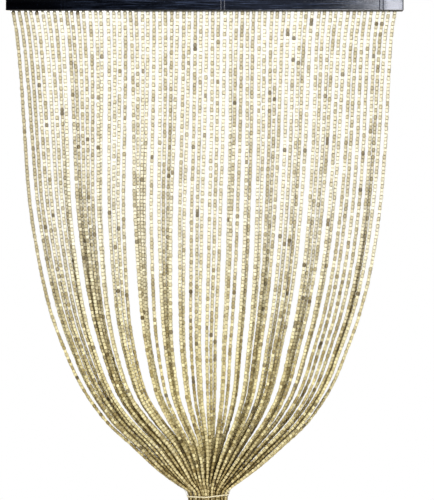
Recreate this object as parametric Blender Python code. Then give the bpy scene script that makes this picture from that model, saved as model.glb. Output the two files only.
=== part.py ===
"""Bead curtain: strands of bamboo beads on a black rail, gathered and tied with a thin cord.

Metres. X runs along the rail, Z is up and the front faces -Y.
The origin is the middle of the rail's top face.
A drop is a distance down from the rail's underside.
"""

import math
import random

import bmesh
import bpy

# Rail, with a T-shaped slot along its underside
RAIL_LENGTH = 0.900
RAIL_DEPTH = 0.022
RAIL_HEIGHT = 0.030
RAIL_ROUNDING = 0.0025
RAIL_ROUNDING_STEPS = 3
SLOT_LIP = 0.003

# Strip that the strands hang from, inside the slot
STRIP_DEPTH = 0.012
STRIP_HEIGHT = 0.004
STRIP_OVERHANG = 0.007
ROOT_IN_STRIP = 0.001
FIT_GAP = 0.0003
MOUTH_CLEARANCE = 0.0006

# Strands
STRANDS = 66
STRAND_SIDE = 0.0056
STRAND_LENGTH = 1.800
TOP_UNEVENNESS = 0.10  # of the pitch at the rail
SWAY = 0.0010
UNEVEN_SEED = 11

# Heights, as drops below the rail
CLUMP_DROP = 0.759
LOOSE_DROP = 0.860
GATHERED_DROP = 1.060
WAIST_DROP = 1.088
TIE_DROP = 1.0965

# Bundle at the tie: strands in each column from left to right, in rows a step apart
BUNDLE_COLUMNS = (4, 4, 6, 6, 8, 10, 8, 6, 6, 4, 4)
BUNDLE_STEP = 0.0072
TAIL_SPREAD = 0.16
TAIL_DRIFT = 0.0010

# Tie cord
TIE_RADIUS = 0.0015
TIE_TILT = math.radians(3.0)

# Outermost strands' centre lines: drop, x of the left one, x of the right one
OUTLINE = (
    (0.000, -0.4345, 0.4310),
    (0.058, -0.4248, 0.4228),
    (0.167, -0.4146, 0.4160),
    (0.303, -0.4056, 0.4092),
    (0.439, -0.3949, 0.3979),
    (0.575, -0.3731, 0.3781),
    (0.684, -0.3475, 0.3521),
    (0.766, -0.3176, 0.3230),
    (0.847, -0.2802, 0.2893),
    (0.929, -0.2231, 0.2358),
    (0.983, -0.1653, 0.1802),
    (1.038, -0.1060, 0.1168),
    (1.065, -0.0705, 0.0800),
    (1.088, -0.0345, 0.0492),
)

# Clumps at CLUMP_DROP, left to right, in millimetres:
# strands, width between the clump's outer strands, gap to the next clump
CLUMPS = (
    (1, 0.0, 16.3),
    (5, 32.2, 11.8),
    (3, 8.4, 17.2),
    (5, 17.0, 12.5),
    (2, 1.0, 18.6),
    (4, 22.4, 31.3),
    (4, 7.7, 17.5),
    (1, 0.0, 17.0),
    (4, 15.9, 21.3),
    (2, 5.4, 15.9),
    (1, 0.0, 12.0),
    (2, 7.3, 16.3),
    (3, 19.0, 19.3),
    (2, 2.7, 12.5),
    (1, 0.0, 17.0),
    (2, 6.3, 17.7),
    (2, 4.8, 10.7),
    (3, 11.8, 15.0),
    (5, 33.1, 18.4),
    (4, 20.6, 17.2),
    (2, 4.5, 14.3),
    (1, 0.0, 12.7),
    (1, 0.0, 11.1),
    (1, 0.0, 13.1),
    (1, 0.0, 12.7),
    (3, 10.4, 16.1),
    (1, 0.0, 0.0),
)

# Drops at which each strand has a cross-section between its root and its tip
SECTION_DROPS = (
    0.060, 0.160, 0.300, 0.450, 0.580, 0.680, 0.760, 0.830, 0.890,
    0.940, 0.980, 1.015, 1.045, 1.068, 1.088, 1.110, 1.300,
)


def clear_scene():
    for obj in list(bpy.data.objects):
        bpy.data.objects.remove(obj)


def read_curve(rows, at, column):
    """The column's value on a smooth curve through the rows, whose first column is the place."""
    at = min(max(at, rows[0][0]), rows[-1][0])
    low = 0
    while low < len(rows) - 2 and at > rows[low + 1][0]:
        low += 1

    def slope(row):
        before, after = rows[max(row - 1, 0)], rows[min(row + 1, len(rows) - 1)]
        return (after[column] - before[column]) / (after[0] - before[0])

    start, end = rows[low], rows[low + 1]
    step = end[0] - start[0]
    t = (at - start[0]) / step
    return (
        start[column] * (1 + 2 * t) * (1 - t) ** 2
        + end[column] * t * t * (3 - 2 * t)
        + step * t * (1 - t) * (slope(low) * (1 - t) - slope(low + 1) * t)
    )


def ease(t):
    """0 to 1, smooth at both ends."""
    t = min(max(t, 0.0), 1.0)
    return t * t * (3 - 2 * t)


def as_shares(places):
    """Places from left to right, as shares of the way from the first to the last."""
    return [(x - places[0]) / (places[-1] - places[0]) for x in places]


def top_shares(rng):
    """Where the strands leave the rail, a little unevenly."""
    return as_shares([k + TOP_UNEVENNESS * rng.uniform(-1, 1) for k in range(STRANDS)])


def clump_shares():
    """Where the strands are at CLUMP_DROP."""
    places = []
    left = 0.0
    for count, width, gap in CLUMPS:
        places += [left + width * j / max(count - 1, 1) for j in range(count)]
        left += width + gap
    return as_shares(places)


def row_order(count):
    """Depths of one column's strands in their order, in rows from the middle.

    Neighbours lie two rows apart, and each row falls in the same half of every column.
    """
    nearest = (1 - count) / 2
    rows = [nearest + j for j in range(count)]
    return [row for row in rows if row % 2 == 1.5] + [row for row in rows if row % 2 == 0.5]


def bundle_places():
    """Each strand's share of the bundle's width, and its depth in rows from the middle."""
    columns = []
    depths = []
    for column, count in enumerate(BUNDLE_COLUMNS):
        for place, row in enumerate(row_order(count)):
            columns.append(column + (place + 0.5) / count)
            depths.append(row)
    return list(zip(as_shares(columns), depths))


def tail_share(drop):
    """0 down to the tie, and 1 where the longest strands end."""
    return ease((drop - TIE_DROP) / (STRAND_LENGTH - TIE_DROP))


class Strand:
    """One strand's path: its x and y at any drop, and the drop of its tip."""

    def __init__(self, top, clump, bundle, rng):
        self.top = top
        self.clump = clump
        self.bundle, self.row = bundle
        self.sway = SWAY * rng.uniform(-1, 1)
        self.drift_x = TAIL_DRIFT * rng.uniform(-1, 1)
        self.drift_y = TAIL_DRIFT * rng.uniform(-1, 1)
        self.tip = WAIST_DROP + STRAND_LENGTH - self.length_to(WAIST_DROP)

    def x_at(self, drop):
        left, right = (read_curve(OUTLINE, drop, side) for side in (1, 2))
        clumped = min(drop / CLUMP_DROP, 1.0)
        share = self.top + (self.clump - self.top) * clumped
        gathered = ease((drop - LOOSE_DROP) / (GATHERED_DROP - LOOSE_DROP))
        share += (self.bundle - share) * gathered
        x = left + (right - left) * share
        spread = TAIL_SPREAD * (x - (left + right) / 2) + self.drift_x
        return x + self.sway * math.sin(math.pi * clumped) + spread * tail_share(drop)

    def y_at(self, drop):
        y = self.row * BUNDLE_STEP * math.sin(math.pi / 2 * min(drop / WAIST_DROP, 1.0))
        return y + (TAIL_SPREAD * y + self.drift_y) * tail_share(drop)

    def length_to(self, drop, steps=120):
        """Length along the strand from the rail down to the drop."""
        points = [
            (self.x_at(d), self.y_at(d), d) for d in (drop * j / steps for j in range(steps + 1))
        ]
        return sum(math.dist(a, b) for a, b in zip(points, points[1:]))


def make_strands():
    rng = random.Random(UNEVEN_SEED)
    places = zip(top_shares(rng), clump_shares(), bundle_places())
    return [Strand(top, clump, bundle, rng) for top, clump, bundle in places]


def material(name, color, roughness, metallic=0.0):
    made = bpy.data.materials.new(name)
    made.use_nodes = True
    shader = made.node_tree.nodes["Principled BSDF"]
    shader.inputs["Base Color"].default_value = (*color, 1.0)
    shader.inputs["Roughness"].default_value = roughness
    shader.inputs["Metallic"].default_value = metallic
    return made


def add_object(name, data, look=None):
    obj = bpy.data.objects.new(name, data)
    bpy.context.scene.collection.objects.link(obj)
    if look:
        data.materials.append(look)
    return obj


def box_mesh(name, low, high):
    mesh = bpy.data.meshes.new(name)
    bm = bmesh.new()
    bmesh.ops.create_cube(bm, size=1.0)
    for vert in bm.verts:
        vert.co = [low[i] if vert.co[i] < 0 else high[i] for i in range(3)]
    bm.to_mesh(mesh)
    bm.free()
    return mesh


def add_boolean(obj, operation, other):
    """Cuts or joins a helper, which stays out of the render."""
    modifier = obj.modifiers.new(other.name, "BOOLEAN")
    modifier.operation = operation
    modifier.solver = "EXACT"
    modifier.object = other
    other.hide_render = True
    other.display_type = "WIRE"


def strip_box(strands, grow):
    """Corners of the strip, or of the slot round it when it grows."""
    half_depth = STRIP_DEPTH / 2 + grow
    left = strands[0].x_at(0.0) - STRIP_OVERHANG - grow
    right = strands[-1].x_at(0.0) + STRIP_OVERHANG + grow
    bottom = -RAIL_HEIGHT + SLOT_LIP + FIT_GAP - grow
    top = -RAIL_HEIGHT + SLOT_LIP + FIT_GAP + STRIP_HEIGHT + grow
    return (left, -half_depth, bottom), (right, half_depth, top)


def build_rail(strands):
    low = (-RAIL_LENGTH / 2, -RAIL_DEPTH / 2, -RAIL_HEIGHT)
    high = (RAIL_LENGTH / 2, RAIL_DEPTH / 2, 0.0)
    look = material("black_paint", (0.010, 0.011, 0.016), 0.18)
    rail = add_object("rail", box_mesh("rail", low, high), look)
    bevel = rail.modifiers.new("rounding", "BEVEL")
    bevel.width = RAIL_ROUNDING
    bevel.segments = RAIL_ROUNDING_STEPS

    slot_low, slot_high = strip_box(strands, FIT_GAP)
    slot = add_object("slot_cutter", box_mesh("slot_cutter", slot_low, slot_high))
    half_mouth = STRAND_SIDE / 2 + MOUTH_CLEARANCE
    mouth_low = (slot_low[0], -half_mouth, -RAIL_HEIGHT - SLOT_LIP)
    mouth_high = (slot_high[0], half_mouth, (slot_low[2] + slot_high[2]) / 2)
    mouth = add_object("mouth_cutter", box_mesh("mouth_cutter", mouth_low, mouth_high))
    add_boolean(rail, "DIFFERENCE", slot)
    add_boolean(rail, "DIFFERENCE", mouth)


def section(bm, x, y, z):
    """A strand's square cross-section, level."""
    half = STRAND_SIDE / 2
    corners = ((-half, -half), (half, -half), (half, half), (-half, half))
    return [bm.verts.new((x + dx, y + dy, z)) for dx, dy in corners]


def add_strand(bm, strand, root_z):
    rings = [section(bm, strand.x_at(0.0), 0.0, root_z)]
    for drop in (*SECTION_DROPS, strand.tip):
        rings.append(section(bm, strand.x_at(drop), strand.y_at(drop), -RAIL_HEIGHT - drop))
    for upper, lower in zip(rings, rings[1:]):
        for j in range(4):
            bm.faces.new((upper[j], upper[j - 1], lower[j - 1], lower[j]))
    bm.faces.new(rings[0])
    bm.faces.new(rings[-1][::-1])


def build_strands(strands):
    low, high = strip_box(strands, 0.0)
    look = material("bamboo", (0.62, 0.50, 0.30), 0.42)
    curtain = add_object("strands", box_mesh("strands", low, high), look)
    mesh = bpy.data.meshes.new("hanging_strands")
    bm = bmesh.new()
    for strand in strands:
        add_strand(bm, strand, low[2] + ROOT_IN_STRIP)
    bmesh.ops.recalc_face_normals(bm, faces=bm.faces)
    bm.to_mesh(mesh)
    bm.free()
    add_boolean(curtain, "UNION", add_object("hanging_strands", mesh))


def hull(points):
    """The points' convex hull, anticlockwise."""
    def chain(ordered):
        kept = []
        for p in ordered:
            while len(kept) > 1:
                a, b = kept[-2:]
                if (b[0] - a[0]) * (p[1] - a[1]) > (b[1] - a[1]) * (p[0] - a[0]):
                    break
                kept.pop()
            kept.append(p)
        return kept[:-1]

    ordered = sorted(points)
    return chain(ordered) + chain(ordered[::-1])


def loop_round(points, distance):
    """The corners of a taut loop that runs at a distance outside the points."""
    corners = hull(points)
    loop = []
    for j, corner in enumerate(corners):
        before, after = corners[j - 1], corners[(j + 1) % len(corners)]
        facing_in = math.atan2(corner[1] - before[1], corner[0] - before[0]) - math.pi / 2
        facing_out = math.atan2(after[1] - corner[1], after[0] - corner[0]) - math.pi / 2
        half_turn = ((facing_out - facing_in) % (2 * math.pi)) / 2
        reach = distance / math.cos(half_turn)
        facing = facing_in + half_turn
        loop.append((corner[0] + reach * math.cos(facing), corner[1] + reach * math.sin(facing)))
    return loop


def build_tie(strands):
    half = STRAND_SIDE / 2
    corners = [
        (strand.x_at(TIE_DROP) + dx, strand.y_at(TIE_DROP) + dy)
        for strand in strands
        for dx in (-half, half)
        for dy in (-half, half)
    ]
    middle = (strands[0].x_at(TIE_DROP) + strands[-1].x_at(TIE_DROP)) / 2
    curve = bpy.data.curves.new("tie", "CURVE")
    curve.dimensions = "3D"
    curve.bevel_depth = TIE_RADIUS
    curve.bevel_resolution = 2
    spline = curve.splines.new("POLY")
    spline.use_cyclic_u = True
    loop = loop_round(corners, TIE_RADIUS + 2 * FIT_GAP)
    spline.points.add(len(loop) - 1)
    for point, (x, y) in zip(spline.points, loop):
        z = -RAIL_HEIGHT - TIE_DROP + (x - middle) * math.tan(TIE_TILT)
        point.co = (x, y, z, 1.0)
    add_object("tie", curve, material("pale_cord", (0.72, 0.64, 0.44), 0.75))


def main():
    clear_scene()
    strands = make_strands()
    build_rail(strands)
    build_strands(strands)
    build_tie(strands)


main()
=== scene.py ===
"""Looks of the bead curtain: bamboo beads on threads, a black painted rail and a thin tie.

Metres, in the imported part's frame: X runs along the rail, Z is up and the front faces -Y.
A drop is a distance down from the rail's underside.
"""

import math
import random

import bmesh
import bpy
import numpy as np
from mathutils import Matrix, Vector


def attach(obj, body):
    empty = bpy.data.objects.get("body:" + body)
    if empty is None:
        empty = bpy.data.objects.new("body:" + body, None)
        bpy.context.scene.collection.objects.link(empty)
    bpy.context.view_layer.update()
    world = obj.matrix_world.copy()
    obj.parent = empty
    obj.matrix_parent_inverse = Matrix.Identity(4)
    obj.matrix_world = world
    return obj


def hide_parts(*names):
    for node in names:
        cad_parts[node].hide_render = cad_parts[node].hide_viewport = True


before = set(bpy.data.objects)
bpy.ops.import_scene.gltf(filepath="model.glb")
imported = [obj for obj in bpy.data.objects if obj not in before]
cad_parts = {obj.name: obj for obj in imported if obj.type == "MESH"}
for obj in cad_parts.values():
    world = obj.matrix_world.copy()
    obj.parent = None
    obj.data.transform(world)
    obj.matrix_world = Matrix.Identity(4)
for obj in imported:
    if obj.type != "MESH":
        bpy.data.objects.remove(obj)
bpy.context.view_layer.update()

MM = 0.001

# Rail and the strip in its slot, as in the part
RAIL_LENGTH = 0.900
RAIL_DEPTH = 0.022
RAIL_HEIGHT = 0.030
RAIL_ROUNDING = 0.0025
SLOT_LIP = 0.003
STRIP_DEPTH = 0.012
STRIP_HEIGHT = 0.004
STRIP_OVERHANG = 0.007
FIT_GAP = 0.0003
MOUTH_HALF_DEPTH = 0.0034
CORNER_STEPS = 5
LEAST_ROUNDING = 0.0003
RAIL_SHARP_FROM = math.radians(32)
STRIP_SHARP_FROM = math.radians(30)

# Joints of the bamboo that the rail is made of
RAIL_JOINTS = (0.040, 0.400)
JOINT_PERIOD = 0.360
RIDGE_APART = 0.0080
RIDGE_HALF_WIDTH = 0.0011
RIDGE_HEIGHT = 0.00028
# Sections of half a ridge: distance from its middle and inset, as shares of its size
RIDGE_SECTIONS = ((0.25, 0.00), (0.60, 0.35), (1.00, 0.95), (1.35, 1.00), (1.70, 1.00))

# Strands, as in the part
STRANDS = 66
STRAND_LENGTH = 1.800
TOP_UNEVENNESS = 0.10
SWAY = 0.0010
UNEVEN_SEED = 11
CLUMP_DROP = 0.759
LOOSE_DROP = 0.860
GATHERED_DROP = 1.060
WAIST_DROP = 1.088
TIE_DROP = 1.0965
BUNDLE_COLUMNS = (4, 4, 6, 6, 8, 10, 8, 6, 6, 4, 4)
BUNDLE_STEP = 0.0072
TAIL_SPREAD = 0.16
TAIL_DRIFT = 0.0010

# Outermost strands' centre lines: drop, x of the left one, x of the right one
OUTLINE = (
    (0.000, -0.4345, 0.4310),
    (0.058, -0.4248, 0.4228),
    (0.167, -0.4146, 0.4160),
    (0.303, -0.4056, 0.4092),
    (0.439, -0.3949, 0.3979),
    (0.575, -0.3731, 0.3781),
    (0.684, -0.3475, 0.3521),
    (0.766, -0.3176, 0.3230),
    (0.847, -0.2802, 0.2893),
    (0.929, -0.2231, 0.2358),
    (0.983, -0.1653, 0.1802),
    (1.038, -0.1060, 0.1168),
    (1.065, -0.0705, 0.0800),
    (1.088, -0.0345, 0.0492),
)

# Clumps at CLUMP_DROP, left to right, in millimetres:
# strands, width between the clump's outer strands, gap to the next clump
CLUMPS = (
    (1, 0.0, 16.3),
    (5, 32.2, 11.8),
    (3, 8.4, 17.2),
    (5, 17.0, 12.5),
    (2, 1.0, 18.6),
    (4, 22.4, 31.3),
    (4, 7.7, 17.5),
    (1, 0.0, 17.0),
    (4, 15.9, 21.3),
    (2, 5.4, 15.9),
    (1, 0.0, 12.0),
    (2, 7.3, 16.3),
    (3, 19.0, 19.3),
    (2, 2.7, 12.5),
    (1, 0.0, 17.0),
    (2, 6.3, 17.7),
    (2, 4.8, 10.7),
    (3, 11.8, 15.0),
    (5, 33.1, 18.4),
    (4, 20.6, 17.2),
    (2, 4.5, 14.3),
    (1, 0.0, 12.7),
    (1, 0.0, 11.1),
    (1, 0.0, 13.1),
    (1, 0.0, 12.7),
    (3, 10.4, 16.1),
    (1, 0.0, 0.0),
)

# Beads
BEAD_PITCH = 0.0082
BEAD_GAP = 0.00006
BEAD_FLATS = 4
BEAD_HALF_WIDTHS = (  # by drop
    (0.00, 0.0034),
    (0.62, 0.0034),
    (0.94, 0.0030),
    (1.09, 0.0025),
    (1.25, 0.0029),
)
ROOM_STEP = 0.020
ROOM_SHARE = 0.78  # of half the distance to the nearest strand's axis, which a bead may fill
LENGTH_VARIES = 0.05
WIDTH_VARIES = 0.04
JOINT_WANDER = 0.0004
BEAD_SEED = 29
STRANDS_IN_A_PIECE = 11
PATH_STEP = 0.006

# Cross-sections along a bead: share of its length, distance of the flats in half widths,
# degrees from a flat's middle to its edges, share of them that the normals turn by there,
# degrees that the normals lean towards the near end
BEAD_SECTIONS = (
    (0.00, 0.80, 25.0, 0.60, 55.0),
    (0.16, 1.00, 38.0, 0.30, 6.0),
    (0.84, 1.00, 38.0, 0.30, -6.0),
    (1.00, 0.80, 25.0, 0.60, -55.0),
)

# Colour draws: the chance that a bead is dark, on its own and below a dark one, and the share
# of the draw's range that dark beads take
DARK_STARTS = (0.007, 0.020)  # at the rail and at the tie
DARK_GOES_ON = 0.10
DARK_SHARE = 0.10

# Most that a whole strand's shade leans to one side, and how many strands at the left end are
# darker in their upper part, which fades out between these shares of the way to the tie
STRAND_LEAN = 0.30
DARKER_AT_LEFT = 4
DARKER_ABOVE = (0.3, 0.6)

# Bamboo: colours of the stems and shades of the beads, by draw
STEMS = (
    (0.00, (0.095, 0.072, 0.034)),
    (0.09, (0.230, 0.185, 0.095)),
    (0.12, (0.440, 0.345, 0.140)),
    (0.25, (0.620, 0.505, 0.225)),
    (0.60, (0.740, 0.630, 0.305)),
    (0.94, (0.820, 0.720, 0.395)),
    (1.00, (0.880, 0.810, 0.550)),
)
SHADES = (
    (0.0, (0.600, 0.565, 0.485)),
    (0.5, (0.870, 0.850, 0.795)),
    (1.0, (1.000, 1.000, 1.000)),
)
DARK_TO_PALE = (0.09, 0.13)  # draws between which the stems change from dark to pale
STRIPE_COLOR = (0.480, 0.330, 0.120, 1.0)
# Pale colour of painted light that washes the beads out, most near the rail and where a strand stands
# alone
PAINTED_LIGHT_PALE = (0.985, 0.965, 0.850, 1.0)
# Tints of painted shade further down the strand where the strands crowd: deeper for darker beads,
# warmer, and darker where gathered
DEEP_SHADE_TINT = (0.660, 0.605, 0.500, 1.0)
GOLDEN_SHADE_TINT = (1.0, 0.985, 0.83, 1.0)
GATHERED_SHADE_TINT = (0.88, 0.84, 0.80, 1.0)
# Darker cut ends: partly the cut wood and partly painted shade in the groove where two beads meet
CUT_AND_JOINT_SHADE_COLOR = (0.135, 0.092, 0.034, 1.0)
CUT_ENDS = (2.6, 3.6)  # millimetres from the bead's middle, where the cut ends begin
SEED_REACH = 90.0  # how far apart in the noise two beads can lie

# Painted shade: beads are darker and browner where others stand this near
CREVICE_REACH = 0.022
CREVICE_SHADE_COLOR = (0.120, 0.072, 0.028, 1.0)

# Thread and the knot under each last bead
THREAD_RADIUS = 0.00045
THREAD_STEP = 0.030
THREAD_SIDES = 4
KNOT_HALF_WIDTH = 0.0012
KNOT_LENGTH = 0.0026

# Tie
TIE_RADIUS = 0.0015
TIE_TILT = math.radians(3.0)
TIE_PLIES = 3
TIE_TWIST_LENGTH = 0.0075
TIE_STEP = 0.0008
TIE_DIRECTIONS = 2000
PLY_SIDES = 8
BEAD_REACH = 0.0035  # from an outer strand's axis to the tie

# Rail's paint: from black at its left end, which is painted shade, to streaked, rubbed and grooved, by
# place along it; the bluish rubbed paint is partly painted reflection
SHADED_LEFT_TO_STREAKED = (-0.42, -0.20)
RUBBED_AND_REFLECTION_FROM = (-0.36, -0.16)
GROOVED_FROM = (-0.40, -0.18)
PAINT = (
    (0.30, (0.0006, 0.0007, 0.0012)),
    (0.55, (0.0020, 0.0026, 0.0048)),
    (0.75, (0.0090, 0.0115, 0.0200)),
)
BLACK = (0.0002, 0.0002, 0.0004, 1.0)
RUBBED_PAINT_AND_REFLECTION = (0.028, 0.038, 0.070, 1.0)

# Camera: the photograph's frame at the curtain, seen straight on
FRAME_HEIGHT = 1.1335
FRAME_CENTRE = (0.0279, -0.5712)
CAMERA_DISTANCE = 4.0
SENSOR = 36.0

# Surroundings: light all round, and the haze ahead, whose strength changes from left to right
SOFT_LIGHT = (0.195, 0.182, 0.155, 1.0)
WHITE = (1.0, 1.0, 1.0, 1.0)
AHEAD = (-0.78, -0.92)  # the direction's y, from the light all round to the haze
HAZE_REACH = 0.12  # the direction's x at the haze's two ends
HAZE_COLOR = (0.56, 0.66, 1.0)
HAZE = (
    (0.14, 0.0), (0.26, 0.07), (0.40, 0.0), (0.50, 0.03),
    (0.61, 0.70), (0.72, 0.06), (0.86, 0.0), (1.0, 0.20),
)

# Lights: name, place, the point it faces, size, watts, colour
# The two panels are what the rail's right end mirrors
LIGHTS = (
    ("key", (-0.6, -2.8, 1.7), (0.0, 0.0, -0.5), (1.6, 1.0), 138.0, (0.985, 1.0, 0.965)),
    ("fill", (0.9, -3.4, -1.5), (0.0, 0.0, -0.6), (1.2, 0.8), 38.0, (1.0, 0.95, 0.86)),
    ("back", (-1.2, 3.0, 0.4), (0.0, 0.0, -0.6), (2.0, 2.0), 60.0, (1.0, 0.97, 0.92)),
    ("panel_edge", (1.08, -4.0, 0.40), (1.08, 0.0, 0.40), (0.86, 1.8), 7.0, (0.76, 0.85, 1.0)),
    ("panel", (1.15, -4.02, 0.40), (1.15, 0.0, 0.40), (0.72, 1.6), 27.5, (0.92, 0.92, 1.0)),
)

FLOOR_Z = -1.860
FLOOR_RADIUS = 4.6
FLOOR_SIDES = 96


def read_curve(rows, at, column):
    """The column's value on a smooth curve through the rows, whose first column is the place."""
    at = min(max(at, rows[0][0]), rows[-1][0])
    low = 0
    while low < len(rows) - 2 and at > rows[low + 1][0]:
        low += 1

    def slope(row):
        before, after = rows[max(row - 1, 0)], rows[min(row + 1, len(rows) - 1)]
        return (after[column] - before[column]) / (after[0] - before[0])

    start, end = rows[low], rows[low + 1]
    step = end[0] - start[0]
    t = (at - start[0]) / step
    return (
        start[column] * (1 + 2 * t) * (1 - t) ** 2
        + end[column] * t * t * (3 - 2 * t)
        + step * t * (1 - t) * (slope(low) * (1 - t) - slope(low + 1) * t)
    )


def ease(t):
    """0 to 1, smooth at both ends."""
    t = min(max(t, 0.0), 1.0)
    return t * t * (3 - 2 * t)


def as_shares(places):
    """Places from left to right, as shares of the way from the first to the last."""
    return [(x - places[0]) / (places[-1] - places[0]) for x in places]


def top_shares(rng):
    """Where the strands leave the rail, a little unevenly."""
    return as_shares([k + TOP_UNEVENNESS * rng.uniform(-1, 1) for k in range(STRANDS)])


def clump_shares():
    """Where the strands are at CLUMP_DROP."""
    places = []
    left = 0.0
    for count, width, gap in CLUMPS:
        places += [left + width * j / max(count - 1, 1) for j in range(count)]
        left += width + gap
    return as_shares(places)


def row_order(count):
    """Depths of one column's strands in their order, in rows from the middle.

    Neighbours lie two rows apart, and each row falls in the same half of every column.
    """
    nearest = (1 - count) / 2
    rows = [nearest + j for j in range(count)]
    return [row for row in rows if row % 2 == 1.5] + [row for row in rows if row % 2 == 0.5]


def bundle_places():
    """Each strand's share of the bundle's width, and its depth in rows from the middle."""
    columns = []
    depths = []
    for column, count in enumerate(BUNDLE_COLUMNS):
        for place, row in enumerate(row_order(count)):
            columns.append(column + (place + 0.5) / count)
            depths.append(row)
    return list(zip(as_shares(columns), depths))


def tail_share(drop):
    """0 down to the tie, and 1 where the longest strands end."""
    return ease((drop - TIE_DROP) / (STRAND_LENGTH - TIE_DROP))


class Strand:
    """One strand's path: its x and y at any drop, and the drop of its tip."""

    def __init__(self, top, clump, bundle, rng):
        self.top = top
        self.clump = clump
        self.bundle, self.row = bundle
        self.sway = SWAY * rng.uniform(-1, 1)
        self.drift_x = TAIL_DRIFT * rng.uniform(-1, 1)
        self.drift_y = TAIL_DRIFT * rng.uniform(-1, 1)
        self.tip = WAIST_DROP + STRAND_LENGTH - self.length_to(WAIST_DROP)

    def x_at(self, drop):
        left, right = (read_curve(OUTLINE, drop, side) for side in (1, 2))
        clumped = min(drop / CLUMP_DROP, 1.0)
        share = self.top + (self.clump - self.top) * clumped
        gathered = ease((drop - LOOSE_DROP) / (GATHERED_DROP - LOOSE_DROP))
        share += (self.bundle - share) * gathered
        x = left + (right - left) * share
        spread = TAIL_SPREAD * (x - (left + right) / 2) + self.drift_x
        return x + self.sway * math.sin(math.pi * clumped) + spread * tail_share(drop)

    def y_at(self, drop):
        y = self.row * BUNDLE_STEP * math.sin(math.pi / 2 * min(drop / WAIST_DROP, 1.0))
        return y + (TAIL_SPREAD * y + self.drift_y) * tail_share(drop)

    def length_to(self, drop, steps=120):
        """Length along the strand from the rail down to the drop."""
        points = [
            (self.x_at(d), self.y_at(d), d) for d in (drop * j / steps for j in range(steps + 1))
        ]
        return sum(math.dist(a, b) for a, b in zip(points, points[1:]))

    def path(self, step, top_z=-RAIL_HEIGHT):
        """Points down the strand from top_z to its tip, with the distance of each from the first."""
        drops = np.append(np.arange(0.0, self.tip - step / 2, step), self.tip)
        points = np.array([(self.x_at(d), self.y_at(d), -RAIL_HEIGHT - d) for d in drops])
        points[0, 2] = top_z
        steps = np.linalg.norm(np.diff(points, axis=0), axis=1)
        return points, np.append(0.0, np.cumsum(steps))


def make_strands():
    rng = random.Random(UNEVEN_SEED)
    places = zip(top_shares(rng), clump_shares(), bundle_places())
    return [Strand(top, clump, bundle, rng) for top, clump, bundle in places]


class Nodes:
    """A node tree in the making."""

    def __init__(self, tree):
        self.tree = tree

    def feed(self, node, inputs):
        """Each named input gets another node's output, or a value of its own."""
        for name, value in inputs.items():
            if isinstance(value, bpy.types.NodeSocket):
                self.tree.links.new(value, node.inputs[name])
            else:
                node.inputs[name].default_value = value

    def put(self, kind, inputs=None, **settings):
        node = self.tree.nodes.new("ShaderNode" + kind)
        for name, value in settings.items():
            setattr(node, name, value)
        self.feed(node, inputs or {})
        return node

    def math(self, operation, a, b=0.0, clamp=False):
        node = self.put("Math", {0: a, 1: b}, operation=operation, use_clamp=clamp)
        return node.outputs[0]

    def spread(self, value, low, high, to_low=0.0, to_high=1.0, way="SMOOTHSTEP"):
        """The value moved from one range to another, and held inside it."""
        inputs = {"Value": value, "From Min": low, "From Max": high}
        inputs |= {"To Min": to_low, "To Max": to_high}
        return self.put("MapRange", inputs, interpolation_type=way).outputs[0]

    def mix(self, factor, a, b, blend="MIX"):
        node = self.put("Mix", {0: factor, 6: a, 7: b}, data_type="RGBA", blend_type=blend)
        return node.outputs[2]

    def stretch(self, vector, scale):
        node = self.put("VectorMath", {0: vector, 1: scale}, operation="MULTIPLY")
        return node.outputs[0]

    def noise(self, vector, scale, detail=4.0, seed=None, **inputs):
        inputs = {"Vector": vector, "Scale": scale, "Detail": detail} | inputs
        if seed is None:
            return self.put("TexNoise", inputs).outputs[0]
        return self.put("TexNoise", inputs | {"W": seed}, noise_dimensions="4D").outputs[0]

    def ramp(self, value, stops):
        """Colours at places from 0 to 1, with a straight run between neighbours."""
        node = self.put("ValToRGB", {"Fac": value})
        elements = node.color_ramp.elements
        while len(elements) < len(stops):
            elements.new(0.5)
        for element, (place, color) in zip(elements, stops):
            element.position = place
            element.color = (*color, 1.0)
        return node.outputs[0]

    def bump(self, height, strength, distance):
        inputs = {"Height": height, "Strength": strength, "Distance": distance}
        return self.put("Bump", inputs).outputs[0]


class Look(Nodes):
    """A node material in the making."""

    def __init__(self, name):
        self.material = bpy.data.materials.new(name)
        self.material.use_nodes = True
        super().__init__(self.material.node_tree)
        self.shader = self.tree.nodes["Principled BSDF"]

    def finish(self, **inputs):
        """Sets the shader's inputs, whose names are given with _ for a space."""
        self.feed(self.shader, {name.replace("_", " "): v for name, v in inputs.items()})
        return self.material


def bamboo_stem(look, pick, grain):
    """The drawn stem's colour, with stripes on the dark stems."""
    dark = look.spread(pick, *DARK_TO_PALE, 1.0, 0.0)
    stripes = look.math("MULTIPLY", dark, look.spread(grain, 0.56, 0.64))
    return look.mix(stripes, look.ramp(pick, STEMS), STRIPE_COLOR)


def bamboo_paleness(look, pick, shade, low, open_round):
    """How far painted light washes a bead out to pale: most near the rail or on its own, and least if
    its stem is dark.
    """
    pale = look.math("MAXIMUM", look.spread(low, 0.38, 1.08, 0.74, 0.07),
                     look.spread(open_round, 0.62, 0.92, 0.0, 0.42))
    pale = look.math("MULTIPLY", pale, look.spread(pick, *DARK_TO_PALE, 0.25, 1.0))
    return look.math("MULTIPLY", pale, look.spread(shade, 0.0, 0.35, 0.88, 1.0))


def bamboo_tones(look, color, shade, low):
    """The colour in the bead's own random shade, and deeper and warmer further down the strand, as
    painted shade where the strands crowd.
    """
    color = look.mix(1.0, color, look.ramp(shade, SHADES), "MULTIPLY")
    deeper = look.math("MULTIPLY", look.spread(low, 0.35, 0.75),
                       look.spread(shade, 0.0, 0.45, 0.60, 0.0))
    for share, tint in (
        (deeper, DEEP_SHADE_TINT),
        (look.spread(low, 0.38, 0.80), GOLDEN_SHADE_TINT),
        (look.spread(low, 0.86, 0.98), GATHERED_SHADE_TINT),
    ):
        color = look.mix(share, color, tint, "MULTIPLY")
    return color


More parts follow.
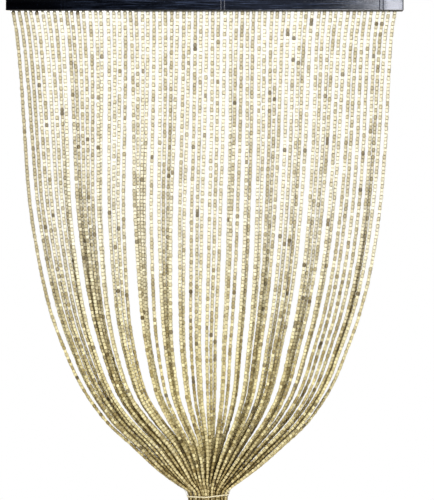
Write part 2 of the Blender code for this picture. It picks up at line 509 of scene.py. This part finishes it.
def bamboo_look():
    """Bead colours by draw with grain along each bead, painted light near the rail and on lone beads,
    painted shade lower down and in crevices, and darker cut ends, partly painted shade.
    """
    look = Look("bamboo")
    spot = look.put("Attribute", attribute_name="spot").outputs["Vector"]
    drawn = look.put("Attribute", attribute_name="draw")
    low = drawn.outputs["Alpha"]
    pick, shade, seed = look.put("SeparateColor", {0: drawn.outputs["Color"]}).outputs
    seed = look.math("MULTIPLY", seed, SEED_REACH)
    grain = look.noise(look.stretch(spot, (0.9, 0.9, 0.10)), 1.5, 5.0, seed, Distortion=0.5)
    fibres = look.noise(look.stretch(spot, (5.0, 5.0, 0.16)), 1.0, 3.0, seed)
    open_round = look.put("AmbientOcclusion", {"Distance": CREVICE_REACH}, samples=6).outputs["AO"]

    pale = bamboo_paleness(look, pick, shade, low, open_round)
    color = look.mix(pale, bamboo_stem(look, pick, grain), PAINTED_LIGHT_PALE)
    tone = look.math("MULTIPLY", look.spread(grain, 0.30, 0.70, 0.82, 1.10),
                     look.spread(fibres, 0.36, 0.60, 1.08, 0.78))
    color = look.mix(1.0, color, tone, "MULTIPLY")
    color = bamboo_tones(look, color, shade, low)
    along = look.math("ABSOLUTE", look.put("SeparateXYZ", {0: spot}).outputs[2])
    # Cut ends darker, partly cut wood and partly painted shade between beads, weaker further down
    cut_end_and_joint_shade = look.math("MULTIPLY", look.spread(along, *CUT_ENDS),
                        look.spread(low, 0.25, 0.80, 0.62, 0.36))
    color = look.mix(cut_end_and_joint_shade, color, CUT_AND_JOINT_SHADE_COLOR)
    # Painted shade: beads darken to brown where others stand near, and their specular is turned down
    # there too
    crevice_shade = look.math("MULTIPLY", look.spread(open_round, 0.16, 0.80, 1.0, 0.0),
                        look.spread(low, 0.30, 0.66, 0.50, 1.0))
    color = look.mix(crevice_shade, color, CREVICE_SHADE_COLOR, "MULTIPLY")

    return look.finish(
        Base_Color=color,
        Roughness=look.spread(grain, 0.3, 0.7, 0.50, 0.36),
        Normal=look.bump(fibres, 0.25, 0.15 * MM),
        Specular_IOR_Level=look.spread(open_round, 0.30, 0.80, 0.06, 0.30),
        Specular_Tint=(1.0, 0.86, 0.62, 1.0),
        Coat_Weight=0.10,
        Coat_Roughness=0.25,
    )


def thread_look():
    look = Look("thread")
    place = look.put("TexCoord").outputs["Object"]
    plies = look.noise(look.stretch(place, (1400.0, 1400.0, 900.0)), 1.0, 2.0)
    color = look.ramp(plies, ((0.3, (0.330, 0.270, 0.170)), (0.7, (0.620, 0.550, 0.400))))
    return look.finish(Base_Color=color, Roughness=0.8, Normal=look.bump(plies, 0.4, 0.1 * MM))


def strip_look():
    look = Look("strip_wood")
    place = look.put("TexCoord").outputs["Object"]
    grain = look.noise(look.stretch(place, (6.0, 400.0, 400.0)), 1.0, 4.0)
    color = look.ramp(grain, ((0.3, (0.300, 0.200, 0.095)), (0.7, (0.520, 0.390, 0.210))))
    return look.finish(Base_Color=color, Roughness=0.6, Normal=look.bump(grain, 0.3, 0.2 * MM))


def rail_look():
    """Glossy black paint over bamboo: streaks along the rail, and its joints as pairs of lines, with
    painted shade at its left end and bluish scuffs that are partly painted reflection.
    """
    look = Look("black_paint")
    place = look.put("TexCoord").outputs["Object"]
    streaks = look.noise(look.stretch(place, (6.0, 260.0, 260.0)), 1.0, 5.0, Roughness=0.65)
    fine = look.noise(look.stretch(place, (45.0, 520.0, 520.0)), 1.0, 3.0)
    waves = look.noise(look.stretch(place, (30.0, 130.0, 130.0)), 1.0, 3.0)
    x = look.put("SeparateXYZ", {0: place}).outputs[0]
    from_joint = look.math("PINGPONG", look.math("SUBTRACT", x, RAIL_JOINTS[0]), JOINT_PERIOD / 2)
    from_ridge = look.math("ABSOLUTE", look.math("SUBTRACT", from_joint, RIDGE_APART / 2))
    worn = look.spread(from_ridge, 0.0, 1.6 * RIDGE_HALF_WIDTH, 1.0, 0.0)
    # Painted shade: the paint turns black towards the left end
    left_end_shade = look.spread(x, *SHADED_LEFT_TO_STREAKED, 0.85, 0.0)
    color = look.mix(left_end_shade, look.ramp(streaks, PAINT), BLACK)
    # Bluish scuffs: partly rubbed paint and partly painted reflection, faded out towards the left end
    # as painted shade
    scuffs = look.noise(look.stretch(place, (15.0, 440.0, 440.0)), 1.0, 4.0, Roughness=0.62)
    rubbed = look.math("MULTIPLY", look.spread(scuffs, 0.48, 0.68), look.spread(x, *RUBBED_AND_REFLECTION_FROM))
    rubbed = look.math("MULTIPLY", rubbed, 0.90)
    rubbed = look.math("ADD", rubbed, look.math("MULTIPLY", worn, 0.08), clamp=True)
    color = look.mix(rubbed, color, RUBBED_PAINT_AND_REFLECTION)
    height = look.math("ADD", look.math("MULTIPLY", streaks, 0.8), look.math("MULTIPLY", fine, 0.5))
    height = look.math("ADD", height, look.math("MULTIPLY", waves, 0.3))
    grooved = look.bump(height, look.spread(x, *GROOVED_FROM, 0.20, 0.62), 0.25 * MM)
    return look.finish(
        Base_Color=color,
        Roughness=look.spread(streaks, 0.3, 0.7, 0.06, 0.11),
        Normal=grooved,
        Coat_Weight=1.0,
        Coat_Roughness=0.05,
        Coat_Normal=grooved,
    )


def cord_look():
    look = Look("pale_cord")
    spot = look.put("Attribute", attribute_name="spot").outputs["Vector"]
    fibres = look.noise(look.stretch(spot, (0.5, 3.0, 3.0)), 1.6, 4.0)
    color = look.ramp(fibres, ((0.3, (0.640, 0.550, 0.340)), (0.7, (0.940, 0.880, 0.680))))
    return look.finish(
        Base_Color=color,
        Roughness=0.75,
        Normal=look.bump(fibres, 0.5, 0.12 * MM),
        Sheen_Weight=0.25,
    )


def floor_look():
    look = Look("studio_floor")
    place = look.put("TexCoord").outputs["Object"]
    cloud = look.noise(place, 0.8, 2.0)
    color = look.ramp(cloud, ((0.3, (0.800, 0.800, 0.800)), (0.7, (0.860, 0.860, 0.860))))
    return look.finish(Base_Color=color, Roughness=0.9)


def add_object(name, mesh, look):
    obj = bpy.data.objects.new(name, mesh)
    bpy.context.scene.collection.objects.link(obj)
    mesh.materials.append(look)
    return obj


def add_piece(name, mesh, look, node):
    """A visible piece that stands for a CAD node."""
    piece = add_object(name, mesh, look)
    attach(piece, "root")
    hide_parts(node)
    return piece


def ring_faces(rings, around, closed=False):
    """Faces between rings of points, with both end caps unless the last ring meets the first."""
    faces = []
    for ring in range(rings if closed else rings - 1):
        here, after = ring * around, (ring + 1) % rings * around
        for j in range(around):
            k = (j + 1) % around
            faces.append([here + j, here + k, after + k, after + j])
    if not closed:
        faces += [list(range(around))[::-1], [(rings - 1) * around + j for j in range(around)]]
    return faces


def bead_form():
    """Points, normals and faces of a bead: flats at distance 1 from its axis, and length 1 along Z."""
    points = []
    normals = []
    for along, flat, half_angle, rounded, lean in BEAD_SECTIONS:
        half_angle, lean = math.radians(half_angle), math.radians(lean)
        reach = flat / math.cos(half_angle)
        level = math.cos(lean)
        for side in range(BEAD_FLATS):
            middle = side * 2 * math.pi / BEAD_FLATS
            for way in (-1, 1):
                at = middle + way * half_angle
                facing = middle + way * half_angle * rounded
                points.append((reach * math.cos(at), reach * math.sin(at), along))
                normals.append((level * math.cos(facing), level * math.sin(facing), -math.sin(lean)))
    faces = ring_faces(len(BEAD_SECTIONS), 2 * BEAD_FLATS)
    return np.array(points), np.array(normals), faces


def along_axes(starts, ends, turns):
    """For each bead its axis and the two directions of its flats, as columns of a matrix."""
    axis = ends - starts
    axis /= np.linalg.norm(axis, axis=1, keepdims=True)
    side = np.cross(axis, (0.0, 1.0, 0.0))
    side /= np.linalg.norm(side, axis=1, keepdims=True)
    other = np.cross(axis, side)
    cos, sin = np.cos(turns)[:, None], np.sin(turns)[:, None]
    return np.stack([side * cos + other * sin, other * cos - side * sin, axis], axis=2)


def placed_beads(form, starts, ends, half_widths, turns):
    """Points and normals of many beads, each from its start to its end, and the points' own places."""
    points, normals, faces = form
    lengths = np.linalg.norm(ends - starts, axis=1)
    sizes = np.stack([half_widths, half_widths, lengths], axis=1)
    own = points[None] * sizes[:, None]
    axes = along_axes(starts, ends, turns)
    world = np.einsum("bij,bpj->bpi", axes, own) + starts[:, None]
    facing = np.einsum("bij,pj->bpi", axes, normals)
    own[:, :, 2] -= lengths[:, None] / 2
    every = [
        [corner + len(points) * bead for corner in face]
        for bead in range(len(starts)) for face in faces
    ]
    return world.reshape(-1, 3), facing.reshape(-1, 3), own.reshape(-1, 3), every


def mesh_of(name, points, faces, normals=None):
    mesh = bpy.data.meshes.new(name)
    mesh.from_pydata(points.tolist(), [], faces)
    mesh.shade_smooth()
    if normals is not None:
        mesh.normals_split_custom_set_from_vertices(normals.tolist())
    return mesh


def add_attribute(mesh, name, kind, field, values):
    attribute = mesh.attributes.new(name, kind, "POINT")
    attribute.data.foreach_set(field, np.asarray(values, np.float32).ravel())


def bead_ends(strand, rng):
    """Where the strand's beads start and end, down to its knot."""
    points, run = strand.path(PATH_STEP)
    total = run[-1] - KNOT_LENGTH
    lengths = 1 + LENGTH_VARIES * rng.uniform(-1, 1, round(total / BEAD_PITCH))
    places = np.append(0.0, np.cumsum(lengths)) * total / lengths.sum()
    joints = np.stack([np.interp(places, run, points[:, axis]) for axis in range(3)], axis=1)
    joints[1:-1, :2] += JOINT_WANDER * rng.uniform(-1, 1, (len(joints) - 2, 2))
    tops, bottoms = joints[:-1], joints[1:]
    return tops + (bottoms - tops) * (BEAD_GAP / BEAD_PITCH), bottoms


def rooms(strands):
    """Drops, and at each of them half the distance from every strand's axis to the nearest one."""
    drops = np.arange(0.0, STRAND_LENGTH, ROOM_STEP)
    axes = np.array([[(strand.x_at(drop), strand.y_at(drop)) for strand in strands] for drop in drops])
    apart = np.linalg.norm(axes[:, :, None] - axes[:, None], axis=3)
    apart[:, range(STRANDS), range(STRANDS)] = RAIL_LENGTH
    return drops, apart.min(axis=2) / 2


def draw_picks(lows, rng):
    """Each bead's place in the range of colours, with the dark ones in short runs."""
    picks = DARK_SHARE + (1 - DARK_SHARE) * rng.uniform(0, 1, len(lows))
    starts = np.interp(lows, (0.0, 1.0), DARK_STARTS)
    dark = False
    for bead, lot in enumerate(rng.uniform(0, 1, len(lows))):
        dark = lot < (DARK_GOES_ON if dark else starts[bead])
        if dark:
            picks[bead] = DARK_SHARE * rng.uniform(0, 1)
    return picks


def build_beads(strands):
    form = bead_form()
    rng = np.random.default_rng(BEAD_SEED)
    look = bamboo_look()
    room_drops, room = rooms(strands)
    for first in range(0, STRANDS, STRANDS_IN_A_PIECE):
        starts, ends, draws, widest = [], [], [], []
        for place in range(first, first + STRANDS_IN_A_PIECE):
            tops, bottoms = bead_ends(strands[place], rng)
            count = len(tops)
            drops = -RAIL_HEIGHT - tops[:, 2]
            lows = np.clip(drops / TIE_DROP, 0, 1)
            lean = STRAND_LEAN * rng.uniform(-1, 1)
            lean -= max(0.0, 1 - place / DARKER_AT_LEFT) * np.interp(lows, DARKER_ABOVE, (1.0, 0.0))
            shades = np.clip(rng.uniform(0.0, 1.0, count) + lean, 0, 1)
            seeds = rng.uniform(0, 1, count)
            wide = np.interp(drops, *zip(*BEAD_HALF_WIDTHS))
            widest.append(np.minimum(wide, ROOM_SHARE * np.interp(drops, room_drops, room[:, place])))
            starts.append(tops)
            ends.append(bottoms)
            draws.append(np.stack([draw_picks(lows, rng), shades, seeds, lows], axis=1))
        starts, ends, draws = (np.concatenate(rows) for rows in (starts, ends, draws))
        widths = np.concatenate(widest) * (1 + WIDTH_VARIES * rng.uniform(-1, 1, len(starts)))
        turns = rng.uniform(0, math.pi / 2, len(starts))
        points, normals, own, faces = placed_beads(form, starts, ends, widths, turns)
        name = f"beads_{first // STRANDS_IN_A_PIECE + 1}"
        mesh = mesh_of(name, points, faces, normals)
        add_attribute(mesh, "spot", "FLOAT_VECTOR", "vector", own / MM)
        corners = np.repeat(draws, len(form[0]), axis=0)
        add_attribute(mesh, "draw", "FLOAT_COLOR", "color", corners)
        add_piece(name, mesh, look, "strands")


def tube(path, radius, sides, closed=False):
    """Points and faces of a tube down the path, or of a closed one round it."""
    ahead = np.roll(path, -1, axis=0) - np.roll(path, 1, axis=0)
    if not closed:
        ahead[0], ahead[-1] = path[1] - path[0], path[-1] - path[-2]
    ahead /= np.linalg.norm(ahead, axis=1, keepdims=True)
    side = np.cross(ahead, (0.0, 0.0, 1.0) if closed else (0.0, 1.0, 0.0))
    side /= np.linalg.norm(side, axis=1, keepdims=True)
    other = np.cross(ahead, side)
    angles = np.arange(sides) * 2 * math.pi / sides
    cos, sin = np.cos(angles)[None, :, None], np.sin(angles)[None, :, None]
    ring = cos * side[:, None] + sin * other[:, None]
    points = (path[:, None] + radius * ring).reshape(-1, 3)
    return points, ring_faces(len(path), sides, closed)


def joined(parts):
    """Points and faces of several parts as one."""
    points, faces, first = [], [], 0
    for part_points, part_faces in parts:
        points.append(part_points)
        faces += [[corner + first for corner in face] for face in part_faces]
        first += len(part_points)
    return np.concatenate(points), faces


def build_threads(strands):
    root_z = -RAIL_HEIGHT + SLOT_LIP + FIT_GAP + STRIP_HEIGHT / 2
    parts = []
    knots = []
    for strand in strands:
        path, _ = strand.path(THREAD_STEP, root_z)
        parts.append(tube(path, THREAD_RADIUS, THREAD_SIDES))
        toward = (path[-2] - path[-1]) / np.linalg.norm(path[-2] - path[-1])
        knots.append((path[-1] + toward * KNOT_LENGTH, path[-1]))
    starts, ends = (np.array(places) for places in zip(*knots))
    half_widths = np.full(len(knots), KNOT_HALF_WIDTH)
    points, _, _, faces = placed_beads(bead_form(), starts, ends, half_widths, np.zeros(len(knots)))
    parts.append((points, faces))
    mesh = mesh_of("threads", *joined(parts))
    add_piece("threads", mesh, thread_look(), "strands")


def box_mesh(name, low, high, bevel=0.0):
    mesh = bpy.data.meshes.new(name)
    bm = bmesh.new()
    bmesh.ops.create_cube(bm, size=1.0)
    for vert in bm.verts:
        vert.co = [low[i] if vert.co[i] < 0 else high[i] for i in range(3)]
    if bevel:
        bmesh.ops.bevel(bm, geom=bm.edges[:], offset=bevel, segments=3, profile=0.5, affect="EDGES")
    bm.to_mesh(mesh)
    bm.free()
    return mesh


def strip_box(strands, grow):
    """Corners of the strip, or of the slot round it when it grows."""
    half_depth = STRIP_DEPTH / 2 + grow
    left = strands[0].x_at(0.0) - STRIP_OVERHANG - grow
    right = strands[-1].x_at(0.0) + STRIP_OVERHANG + grow
    bottom = -RAIL_HEIGHT + SLOT_LIP + FIT_GAP - grow
    top = -RAIL_HEIGHT + SLOT_LIP + FIT_GAP + STRIP_HEIGHT + grow
    return (left, -half_depth, bottom), (right, half_depth, top)


def build_strip(strands):
    mesh = box_mesh("strip", *strip_box(strands, 0.0), bevel=LEAST_ROUNDING)
    mesh.shade_smooth()
    mesh.set_sharp_from_angle(angle=STRIP_SHARP_FROM)
    add_piece("strip", mesh, strip_look(), "strands")


def rail_sections():
    """Places along the rail and how far its sides lie inside the solid's there."""
    rows = []
    for step in range(CORNER_STEPS + 1):
        turn = math.pi / 2 * step / CORNER_STEPS
        inset = RAIL_ROUNDING * (1 - math.sin(turn)) + RIDGE_HEIGHT * math.sin(turn)
        x = RAIL_LENGTH / 2 - RAIL_ROUNDING * (1 - math.cos(turn))
        rows += [(-x, inset), (x, inset)]
    for joint in RAIL_JOINTS:
        for way in (-1, 1):
            ridge = joint + way * RIDGE_APART / 2
            for reach, inset in RIDGE_SECTIONS:
                rows += [(ridge - reach * RIDGE_HALF_WIDTH, inset * RIDGE_HEIGHT),
                         (ridge + reach * RIDGE_HALF_WIDTH, inset * RIDGE_HEIGHT)]
    return sorted(rows)


def rail_outline(inset):
    """The rail's rounded cross-section as (y, z) points, anticlockwise seen from +X."""
    radius = max(RAIL_ROUNDING - inset, LEAST_ROUNDING)
    half = RAIL_DEPTH / 2 - inset
    top = -max(inset - RIDGE_HEIGHT, 0.0)
    bottom = -RAIL_HEIGHT + inset
    centres = (
        (half - radius, top - radius, 0.0),
        (-half + radius, top - radius, math.pi / 2),
        (-half + radius, bottom + radius, math.pi),
        (half - radius, bottom + radius, math.pi * 1.5),
    )
    outline = []
    for y, z, first in centres:
        for step in range(CORNER_STEPS + 1):
            turn = first + math.pi / 2 * step / CORNER_STEPS
            outline.append((y + radius * math.cos(turn), z + radius * math.sin(turn)))
    return outline


def cut(obj, low, high):
    """Cuts a box out of the object for good."""
    cutter = bpy.data.objects.new("cutter", box_mesh("cutter", low, high))
    bpy.context.scene.collection.objects.link(cutter)
    modifier = obj.modifiers.new("cut", "BOOLEAN")
    modifier.operation = "DIFFERENCE"
    modifier.solver = "EXACT"
    modifier.object = cutter
    bpy.context.view_layer.update()
    result = bpy.data.meshes.new_from_object(obj.evaluated_get(bpy.context.evaluated_depsgraph_get()))
    obj.modifiers.remove(modifier)
    obj.data = result
    bpy.data.objects.remove(cutter)


def build_rail(strands):
    sections = rail_sections()
    points = [(x, y, z) for x, inset in sections for y, z in rail_outline(inset)]
    mesh = bpy.data.meshes.new("rail_painted")
    mesh.from_pydata(points, [], ring_faces(len(sections), len(rail_outline(0.0))))
    rail = add_piece("rail_painted", mesh, rail_look(), "rail")
    slot_low, slot_high = strip_box(strands, FIT_GAP)
    cut(rail, slot_low, slot_high)
    mouth_low = (slot_low[0], -MOUTH_HALF_DEPTH, -RAIL_HEIGHT - SLOT_LIP)
    cut(rail, mouth_low, (slot_high[0], MOUTH_HALF_DEPTH, (slot_low[2] + slot_high[2]) / 2))
    rail.data.shade_smooth()
    rail.data.set_sharp_from_angle(angle=RAIL_SHARP_FROM)


def tie_line(strands):
    """Evenly spaced points of the tie's centre line, taut round the beads."""
    axes = np.array([(strand.x_at(TIE_DROP), strand.y_at(TIE_DROP)) for strand in strands])
    angles = np.linspace(0, 2 * math.pi, TIE_DIRECTIONS, endpoint=False)
    facing = np.stack([np.cos(angles), np.sin(angles)], axis=1)
    outermost = axes[np.argmax(facing @ axes.T, axis=1)]
    loop = outermost + facing * (BEAD_REACH + TIE_RADIUS)
    loop = np.concatenate([loop, loop[:1]])
    run = np.append(0.0, np.cumsum(np.linalg.norm(np.diff(loop, axis=0), axis=1)))
    places = np.linspace(0, run[-1], round(run[-1] / TIE_STEP), endpoint=False)
    x, y = (np.interp(places, run, loop[:, axis]) for axis in range(2))
    middle = (strands[0].x_at(TIE_DROP) + strands[-1].x_at(TIE_DROP)) / 2
    z = -RAIL_HEIGHT - TIE_DROP + (x - middle) * math.tan(TIE_TILT)
    return np.stack([x, y, z], axis=1), run[-1]


def build_tie(strands):
    line, length = tie_line(strands)
    ahead = np.roll(line, -1, axis=0) - np.roll(line, 1, axis=0)
    ahead /= np.linalg.norm(ahead, axis=1, keepdims=True)
    outward = np.cross(ahead, (0.0, 0.0, 1.0))
    outward /= np.linalg.norm(outward, axis=1, keepdims=True)
    upward = np.cross(outward, ahead)
    turns = round(length / TIE_TWIST_LENGTH)
    along = np.arange(len(line)) / len(line)
    ply_radius = TIE_RADIUS / 2
    parts = []
    for ply in range(TIE_PLIES):
        twist = 2 * math.pi * (along * turns + ply / TIE_PLIES)
        offset = outward * np.cos(twist)[:, None] + upward * np.sin(twist)[:, None]
        parts.append(tube(line + offset * ply_radius, ply_radius, PLY_SIDES, closed=True))
    points, faces = joined(parts)
    mesh = mesh_of("tie_cord_twisted", points, faces)
    add_attribute(mesh, "spot", "FLOAT_VECTOR", "vector", points / MM)
    add_piece("tie_cord_twisted", mesh, cord_look(), "tie")


def build_floor():
    mesh = bpy.data.meshes.new("floor")
    turns = [2 * math.pi * side / FLOOR_SIDES for side in range(FLOOR_SIDES)]
    rim = [(FLOOR_RADIUS * math.cos(turn), FLOOR_RADIUS * math.sin(turn), FLOOR_Z) for turn in turns]
    mesh.from_pydata(rim, [], [list(range(FLOOR_SIDES))])
    add_object("floor", mesh, floor_look())


def build_lights():
    for name, place, target, size, power, color in LIGHTS:
        data = bpy.data.lights.new(name, "AREA")
        data.shape = "RECTANGLE"
        data.size, data.size_y = size
        data.energy = power
        data.color = color
        light = bpy.data.objects.new(name, data)
        light.location = place
        light.rotation_euler = (Vector(target) - Vector(place)).to_track_quat("-Z", "Y").to_euler()
        bpy.context.scene.collection.objects.link(light)


def build_world():
    """White where the camera sees it, and otherwise soft light with bands of haze ahead."""
    world = bpy.data.worlds.new("studio")
    world.use_nodes = True
    bpy.context.scene.world = world
    nodes = Nodes(world.node_tree)
    direction = nodes.put("TexCoord").outputs["Generated"]
    x, y, _ = nodes.put("SeparateXYZ", {0: direction}).outputs
    across = nodes.spread(x, -HAZE_REACH, HAZE_REACH, way="LINEAR")
    bands = [(place, [strength * part for part in HAZE_COLOR]) for place, strength in HAZE]
    ahead = nodes.spread(y, *AHEAD, way="LINEAR")
    soft = nodes.mix(ahead, SOFT_LIGHT, nodes.ramp(across, bands))
    seen = nodes.put("LightPath").outputs["Is Camera Ray"]
    nodes.feed(nodes.tree.nodes["Background"], {"Color": nodes.mix(seen, soft, WHITE)})


def build_camera():
    data = bpy.data.cameras.new("camera")
    data.sensor_width = SENSOR
    data.lens = SENSOR * CAMERA_DISTANCE / FRAME_HEIGHT
    camera = bpy.data.objects.new("camera", data)
    camera.location = (FRAME_CENTRE[0], -CAMERA_DISTANCE, FRAME_CENTRE[1])
    camera.rotation_euler = (math.pi / 2, 0.0, 0.0)
    bpy.context.scene.collection.objects.link(camera)
    bpy.context.scene.camera = camera
    bpy.context.scene.view_settings.view_transform = "Standard"


def main():
    build_camera()
    build_world()
    build_lights()
    build_floor()
    strands = make_strands()
    build_rail(strands)
    build_strip(strands)
    build_threads(strands)
    build_beads(strands)
    build_tie(strands)


main()
